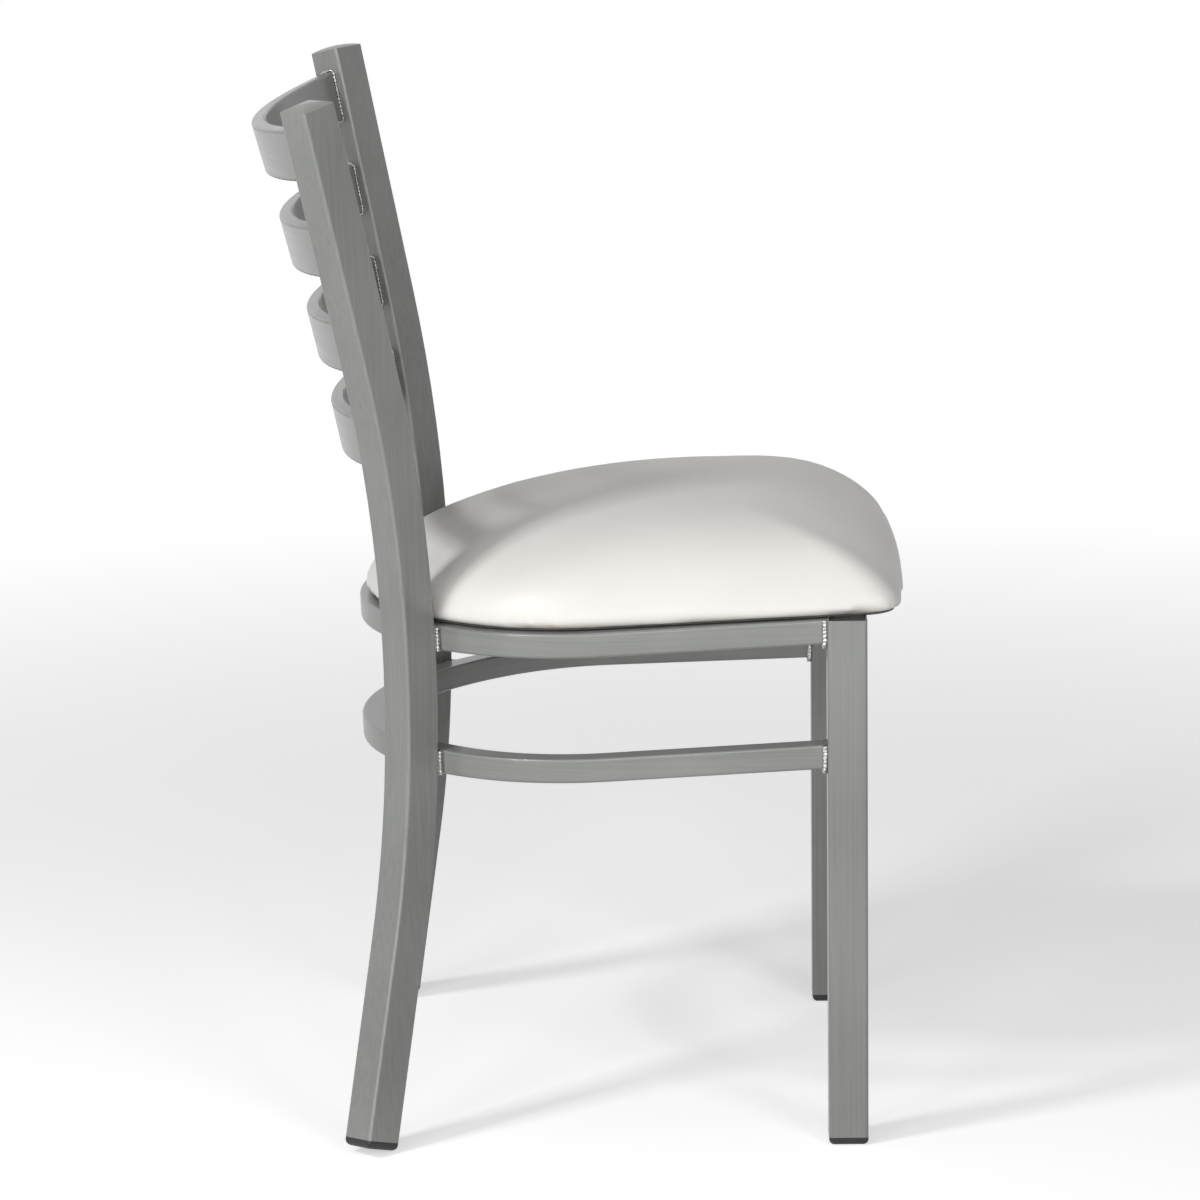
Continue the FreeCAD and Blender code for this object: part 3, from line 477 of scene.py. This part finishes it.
PRESSURE = 4.0
SWELL_LIMIT = 6 * MM
SWELL_FRAMES = 20
STAPLED_HIGH = 9 * MM
STRETCH_STIFF, SHEAR_STIFF, BEND_STIFF = 25, 15, 2
SMOOTH_ROUNDS = 40


def smooth_moves(mesh, moves):
    """Even out how far neighbouring points moved, so that the vinyl stays taut."""
    pairs = np.array([edge.vertices[:] for edge in mesh.edges])
    neighbours = np.bincount(pairs.ravel(), minlength=len(moves))[:, None]
    for _ in range(SMOOTH_ROUNDS):
        total = np.zeros_like(moves)
        np.add.at(total, pairs[:, 0], moves[pairs[:, 1]])
        np.add.at(total, pairs[:, 1], moves[pairs[:, 0]])
        moves = total / neighbours
    return moves


def swell(piece):
    """Let the vinyl swell under the foam's pressure, its lower edge stapled, then even it out."""
    before = [vertex.co.copy() for vertex in piece.data.vertices]
    held = piece.vertex_groups.new(name="stapled")
    stapled = [v.index for v in piece.data.vertices if height_above_frame(v.co) < STAPLED_HIGH]
    held.add(stapled, 1.0, "REPLACE")
    cloth = piece.modifiers.new("cloth", "CLOTH")
    settings = cloth.settings
    settings.quality = 6
    settings.mass = 0.4
    settings.tension_stiffness = STRETCH_STIFF
    settings.compression_stiffness = STRETCH_STIFF
    settings.shear_stiffness = SHEAR_STIFF
    settings.bending_stiffness = BEND_STIFF
    settings.use_pressure = True
    settings.uniform_pressure_force = PRESSURE
    settings.vertex_group_mass = "stapled"
    settings.effector_weights.gravity = 0
    cloth.point_cache.frame_start = 1
    cloth.point_cache.frame_end = SWELL_FRAMES
    scene = bpy.context.scene
    for number in range(1, SWELL_FRAMES + 1):
        scene.frame_set(number)
    apply_modifiers(piece)
    scene.frame_set(1)
    moves = [vertex.co - start for vertex, start in zip(piece.data.vertices, before)]
    moves = smooth_moves(piece.data, np.array(moves))
    for vertex, start, moved in zip(piece.data.vertices, before, moves):
        moved = Vector(moved)
        if moved.length > SWELL_LIMIT:
            moved = moved.normalized() * SWELL_LIMIT
        vertex.co = start + moved


# Weld beads

BEAD_VOXEL = 0.7 * MM
RIPPLE_PITCH = 3.1 * MM
RIPPLE_HIGH, LUMP_HIGH, BEAD_GROWTH = 0.28, 0.55, 0.15
WANDER, WANDER_SCALE, LUMP_SCALE = 2.0, 160, 420


def lumpy_weld(node):
    """The node's beads with the uneven ripples and lumps of a hand weld."""
    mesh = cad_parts[node].data.copy()
    mesh.name = node + "_lumpy"
    piece = add_piece(node + "_lumpy", mesh, WELD)
    remesh = piece.modifiers.new("remesh", "REMESH")
    remesh.mode = "VOXEL"
    remesh.voxel_size = BEAD_VOXEL
    apply_modifiers(piece)
    made = piece.data
    normals = [vertex.normal.copy() for vertex in made.vertices]
    for vertex, normal in zip(made.vertices, normals):
        point = vertex.co
        wander = WANDER * noise.noise(point * WANDER_SCALE)
        ripple = math.sin(point.z / RIPPLE_PITCH * 2 * math.pi + wander)
        lump = noise.noise(point * LUMP_SCALE)
        rise = RIPPLE_HIGH * ripple + LUMP_HIGH * lump + BEAD_GROWTH
        vertex.co = point + normal * rise * MM
    shade_smooth(made)
    made.materials.clear()
    made.materials.append(WELD)
    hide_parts(node)


# Floor, light and background

def seen_directly(nodes, links):
    """1 for camera, glossy and transmission rays, 0 for diffuse light."""
    path = nodes.new("ShaderNodeLightPath")
    value = path.outputs["Is Camera Ray"]
    for name in ("Is Glossy Ray", "Is Transmission Ray"):
        either = nodes.new("ShaderNodeMath")
        either.operation = "MAXIMUM"
        links.new(value, either.inputs[0])
        links.new(path.outputs[name], either.inputs[1])
        value = either.outputs["Value"]
    return value


# Metres: how far the floor goes each way, and where its glow starts and stops growing
FLOOR_REACH = 12.0
FLOOR_NEAR, FLOOR_FAR = 0.9, 3.2
FLOOR_GLOW_NEAR, FLOOR_GLOW_FAR = 0.52, 0.97


def make_floor():
    """Pale floor that fades to the white background away from the chair."""
    mesh = bpy.data.meshes.new("floor")
    corners = [(FLOOR_REACH * x, FLOOR_REACH * y, 0)
               for x, y in ((-1, -1), (1, -1), (1, 1), (-1, 1))]
    mesh.from_pydata(corners, [], [(0, 1, 2, 3)])
    floor = bpy.data.objects.new("floor", mesh)
    bpy.context.collection.objects.link(floor)
    material, nodes, links, shader = new_material("pale_floor")
    set_values(shader, Base_Color=(0.80, 0.80, 0.80, 1), Roughness=0.9, Specular_IOR_Level=0.0)
    place = nodes.new("ShaderNodeTexCoord")
    distance = nodes.new("ShaderNodeVectorMath")
    distance.operation = "LENGTH"
    links.new(place.outputs["Object"], distance.inputs[0])
    fade = nodes.new("ShaderNodeMapRange")
    fade.interpolation_type = "SMOOTHSTEP"
    for name, value in (("From Min", FLOOR_NEAR), ("From Max", FLOOR_FAR),
                        ("To Min", FLOOR_GLOW_NEAR), ("To Max", FLOOR_GLOW_FAR)):
        fade.inputs[name].default_value = value
    links.new(distance.outputs["Value"], fade.inputs["Value"])
    level = nodes.new("ShaderNodeMath")
    level.operation = "MULTIPLY"
    links.new(seen_directly(nodes, links), level.inputs[0])
    links.new(fade.outputs["Result"], level.inputs[1])
    shader.inputs["Emission Color"].default_value = (1, 1, 1, 1)
    links.new(level.outputs["Value"], shader.inputs["Emission Strength"])
    mesh.materials.append(material)


AMBIENT = 0.03


def make_world():
    """A faint ambient light, seen as a white background."""
    world = bpy.data.worlds.new("studio")
    bpy.context.scene.world = world
    world.use_nodes = True
    nodes, links = world.node_tree.nodes, world.node_tree.links
    nodes.clear()
    ambient = nodes.new("ShaderNodeBackground")
    ambient.inputs["Color"].default_value = (1, 1, 1, 1)
    ambient.inputs["Strength"].default_value = AMBIENT
    white = nodes.new("ShaderNodeBackground")
    white.inputs["Color"].default_value = (1, 1, 1, 1)
    white.inputs["Strength"].default_value = 1.0
    mix = nodes.new("ShaderNodeMixShader")
    links.new(seen_directly(nodes, links), mix.inputs[0])
    links.new(ambient.outputs["Background"], mix.inputs[1])
    links.new(white.outputs["Background"], mix.inputs[2])
    output = nodes.new("ShaderNodeOutputWorld")
    links.new(mix.outputs["Shader"], output.inputs["Surface"])


LAMP_TARGET = Vector((0, 0, 0.45))

# Softboxes: degrees from the sitter's right towards the chair's back, degrees up, distance,
# width and height in metres, power in watts
SOFTBOXES = {
    "key": (0, 10, 3.6, 1.6, 1.2, 35),
    "side": (30, 25, 3.6, 1.0, 1.6, 21),
    "back": (52, 40, 3.4, 0.5, 0.5, 44),
    "front": (-30, 25, 3.6, 1.0, 1.6, 25),
    "top": (0, 85, 3.0, 1.4, 1.4, 5),
    "strip": (45, 2, 3.0, 0.12, 0.8, 9),
}


def make_lamp(name, azimuth, elevation, distance, wide, high, power):
    """A softbox that faces the middle of the chair."""
    data = bpy.data.lights.new(name, "AREA")
    data.shape = "RECTANGLE"
    data.size = wide
    data.size_y = high
    data.energy = power
    lamp = bpy.data.objects.new(name, data)
    bpy.context.collection.objects.link(lamp)
    around, up = math.radians(azimuth), math.radians(elevation)
    away = Vector((-math.cos(around) * math.cos(up), math.sin(around) * math.cos(up),
                   math.sin(up)))
    lamp.location = LAMP_TARGET + away * distance
    lamp.rotation_euler = away.to_track_quat("Z", "Y").to_euler()


make_camera()
make_world()
make_floor()
for lamp_name, lamp_values in SOFTBOXES.items():
    make_lamp(lamp_name, *lamp_values)

make_cushion()
for node_name in sorted(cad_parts):
    if node_name.endswith("_welds"):
        lumpy_weld(node_name)

bpy.context.scene.view_settings.view_transform = "Standard"
